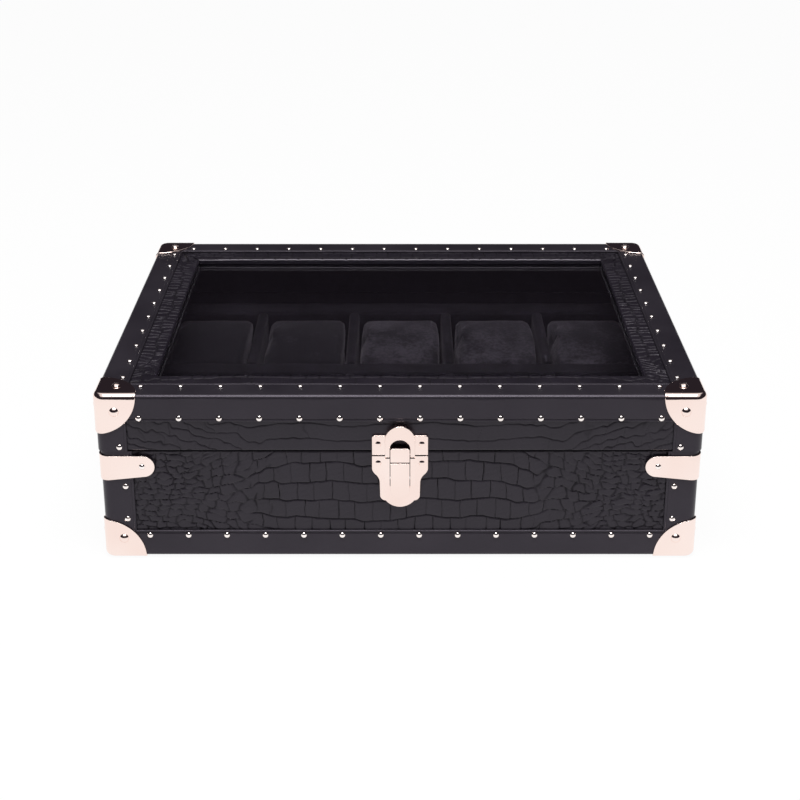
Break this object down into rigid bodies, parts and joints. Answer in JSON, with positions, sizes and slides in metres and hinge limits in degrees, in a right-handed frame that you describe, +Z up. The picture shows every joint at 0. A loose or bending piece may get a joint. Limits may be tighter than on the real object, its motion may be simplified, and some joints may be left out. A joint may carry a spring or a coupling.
{
  "type": "watch box",
  "caption": "Leather-covered watch box with croc-embossed sides, rose-gold corner caps and latch, a hinged glass lid and compartments with lift-out cushions.",
  "frame": {"origin": "centre of the underside, on the surface the felt rests on", "axes": "+X to the right seen from the front, front face towards -Y, +Z up"},
  "size_m": [0.3452, 0.2642, 0.1056],
  "materials": {
    "carcass_wood": "black stained",
    "croc_leather": "crocodile embossed, satin",
    "smooth_leather": "smooth satin",
    "felt": "felt",
    "suede_lining": "suede",
    "suede_cushion": "suede",
    "clear_glass": "clear",
    "steel": "satin",
    "rose_gold": "polished rose gold plate"
  },
  "bodies": {
    "base": {"base_front_wall": "carcass_wood", "base_back_wall": "carcass_wood", "base_left_wall": "carcass_wood", "base_right_wall": "carcass_wood", "base_floor": "carcass_wood", "base_felt": "felt", "base_lining": "suede_lining", "base_hide": "croc_leather", "base_edge_bindings": "smooth_leather", "base_corner_bindings": "smooth_leather", "base_corner_caps": "rose_gold", "corner_straps": "rose_gold", "base_nails": "rose_gold", "base_cap_nails": "rose_gold", "tray_board": "carcass_wood", "tray_rails": "suede_lining", "row_divider": "suede_lining", "column_dividers": "suede_lining", "base_latch_plate": "rose_gold", "latch_pin": "steel", "latch_spring": "steel", "hinge_base_leaf_left": "rose_gold", "hinge_base_leaf_right": "rose_gold", "hinge_pins": "steel"},
    "lid": {"lid_front_wall": "carcass_wood", "lid_back_wall": "carcass_wood", "lid_left_wall": "carcass_wood", "lid_right_wall": "carcass_wood", "lid_top_rails": "carcass_wood", "lid_hide": "croc_leather", "lid_top_hide": "croc_leather", "lid_edge_bindings": "smooth_leather", "lid_corner_bindings": "smooth_leather", "lid_corner_caps": "rose_gold", "lid_nails": "rose_gold", "lid_cap_nails": "rose_gold", "glass_pane": "clear_glass", "glazing_bead": "suede_lining", "lid_lining": "suede_lining", "lid_latch_plate": "rose_gold", "hinge_lid_leaf_left": "rose_gold", "hinge_lid_leaf_right": "rose_gold"},
    "latch": {"latch_lever": "rose_gold"},
    "cushion_front_1": {"cushion_front_1": "suede_cushion"},
    "cushion_front_2": {"cushion_front_2": "suede_cushion"},
    "cushion_front_3": {"cushion_front_3": "suede_cushion"},
    "cushion_front_4": {"cushion_front_4": "suede_cushion"},
    "cushion_front_5": {"cushion_front_5": "suede_cushion"},
    "cushion_back_1": {"cushion_back_1": "suede_cushion"},
    "cushion_back_2": {"cushion_back_2": "suede_cushion"},
    "cushion_back_3": {"cushion_back_3": "suede_cushion"},
    "cushion_back_4": {"cushion_back_4": "suede_cushion"},
    "cushion_back_5": {"cushion_back_5": "suede_cushion"}
  },
  "joints": [
    {"name": "lid_hinge", "type": "hinge", "parent": "base", "child": "lid", "pos_m": [0, 0.1296, 0.0682], "axis": [-1, 0, 0], "range_deg": [0, 95]},
    {"name": "latch_pivot", "type": "hinge", "parent": "base", "child": "latch", "pos_m": [0, -0.1298, 0.053], "axis": [1, 0, 0], "range_deg": [-5, 8], "stiffness_Nm_per_rad": 0.05, "springref_deg": -5, "deforming": ["latch_spring"]},
    {"name": "cushion_front_1_lift", "type": "slide", "parent": "base", "child": "cushion_front_1", "axis": [0, 0, 1], "range_m": [0, 0.024]},
    {"name": "cushion_front_2_lift", "type": "slide", "parent": "base", "child": "cushion_front_2", "axis": [0, 0, 1], "range_m": [0, 0.024]},
    {"name": "cushion_front_3_lift", "type": "slide", "parent": "base", "child": "cushion_front_3", "axis": [0, 0, 1], "range_m": [0, 0.024]},
    {"name": "cushion_front_4_lift", "type": "slide", "parent": "base", "child": "cushion_front_4", "axis": [0, 0, 1], "range_m": [0, 0.024]},
    {"name": "cushion_front_5_lift", "type": "slide", "parent": "base", "child": "cushion_front_5", "axis": [0, 0, 1], "range_m": [0, 0.024]},
    {"name": "cushion_back_1_lift", "type": "slide", "parent": "base", "child": "cushion_back_1", "axis": [0, 0, 1], "range_m": [0, 0.024]},
    {"name": "cushion_back_2_lift", "type": "slide", "parent": "base", "child": "cushion_back_2", "axis": [0, 0, 1], "range_m": [0, 0.024]},
    {"name": "cushion_back_3_lift", "type": "slide", "parent": "base", "child": "cushion_back_3", "axis": [0, 0, 1], "range_m": [0, 0.024]},
    {"name": "cushion_back_4_lift", "type": "slide", "parent": "base", "child": "cushion_back_4", "axis": [0, 0, 1], "range_m": [0, 0.024]},
    {"name": "cushion_back_5_lift", "type": "slide", "parent": "base", "child": "cushion_back_5", "axis": [0, 0, 1], "range_m": [0, 0.024]}
  ]
}
